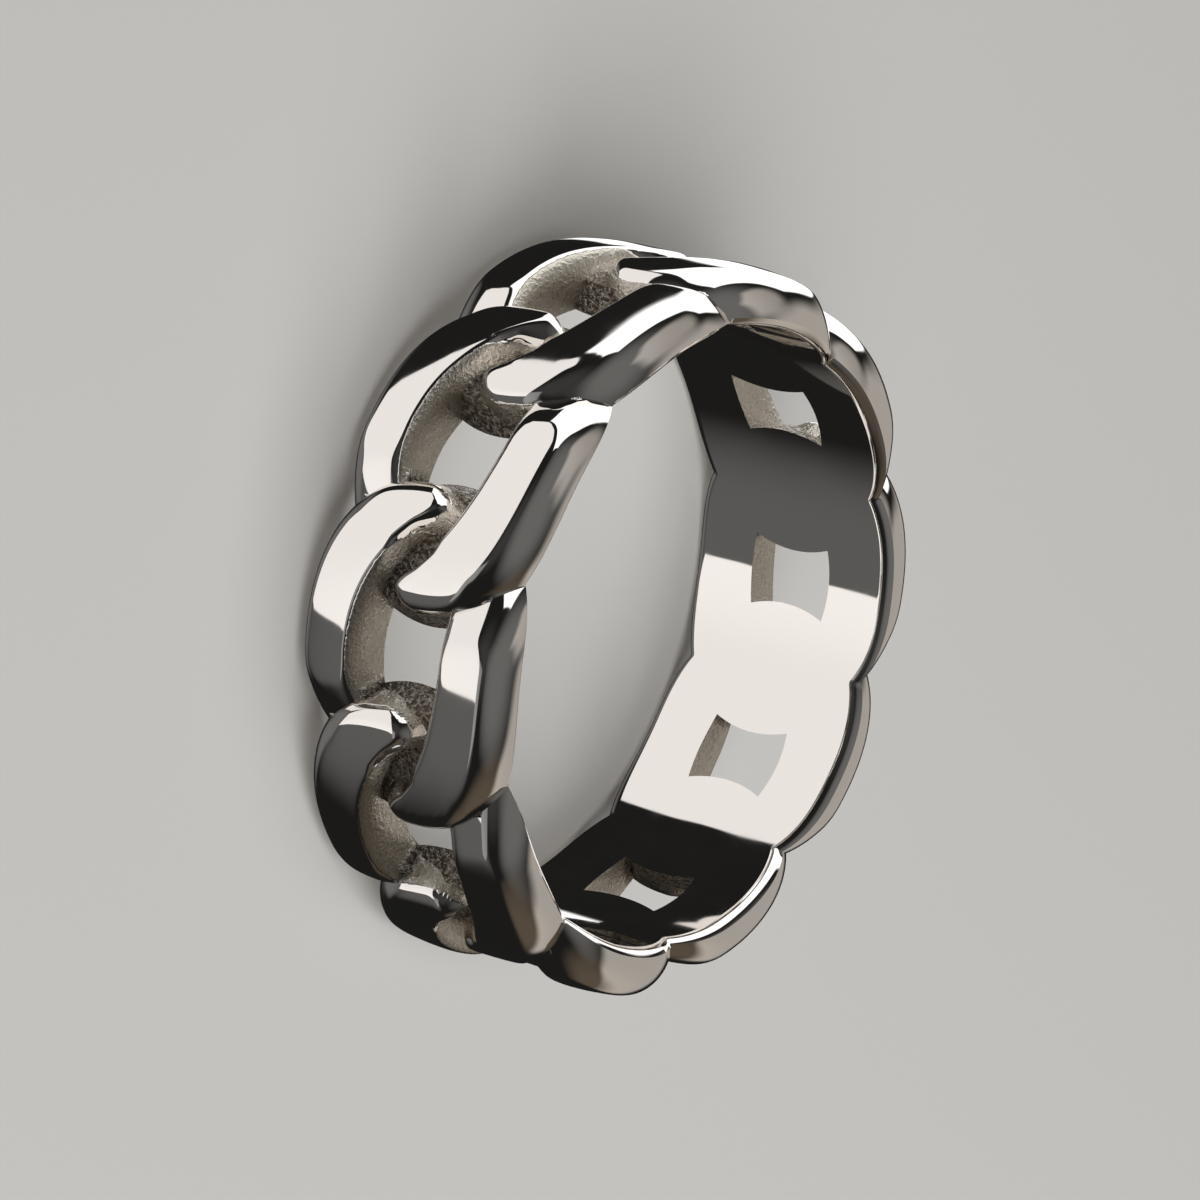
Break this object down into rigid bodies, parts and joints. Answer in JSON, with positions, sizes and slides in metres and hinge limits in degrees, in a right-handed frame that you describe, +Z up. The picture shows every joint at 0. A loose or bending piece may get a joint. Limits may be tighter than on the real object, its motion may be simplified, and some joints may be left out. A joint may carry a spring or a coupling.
{
  "type": "finger ring",
  "caption": "Curb chain finger ring cast in one piece: overlapping oval links with ground crowns, open windows between the strands and a smooth cylindrical bore.",
  "frame": {"origin": "centre of the ring on the plane that it lies on, under the middle of the finger hole", "axes": "+Z up along the axis of the finger hole, the ring lying on its side; +X through the middle of one link"},
  "size_m": [0.0216, 0.0214, 0.007],
  "materials": {
    "silver": "mirror polished on the outside, the rims and the bore, rough as cast in the recesses"
  },
  "bodies": {
    "root": {"ring": "silver"}
  },
  "joints": []
}
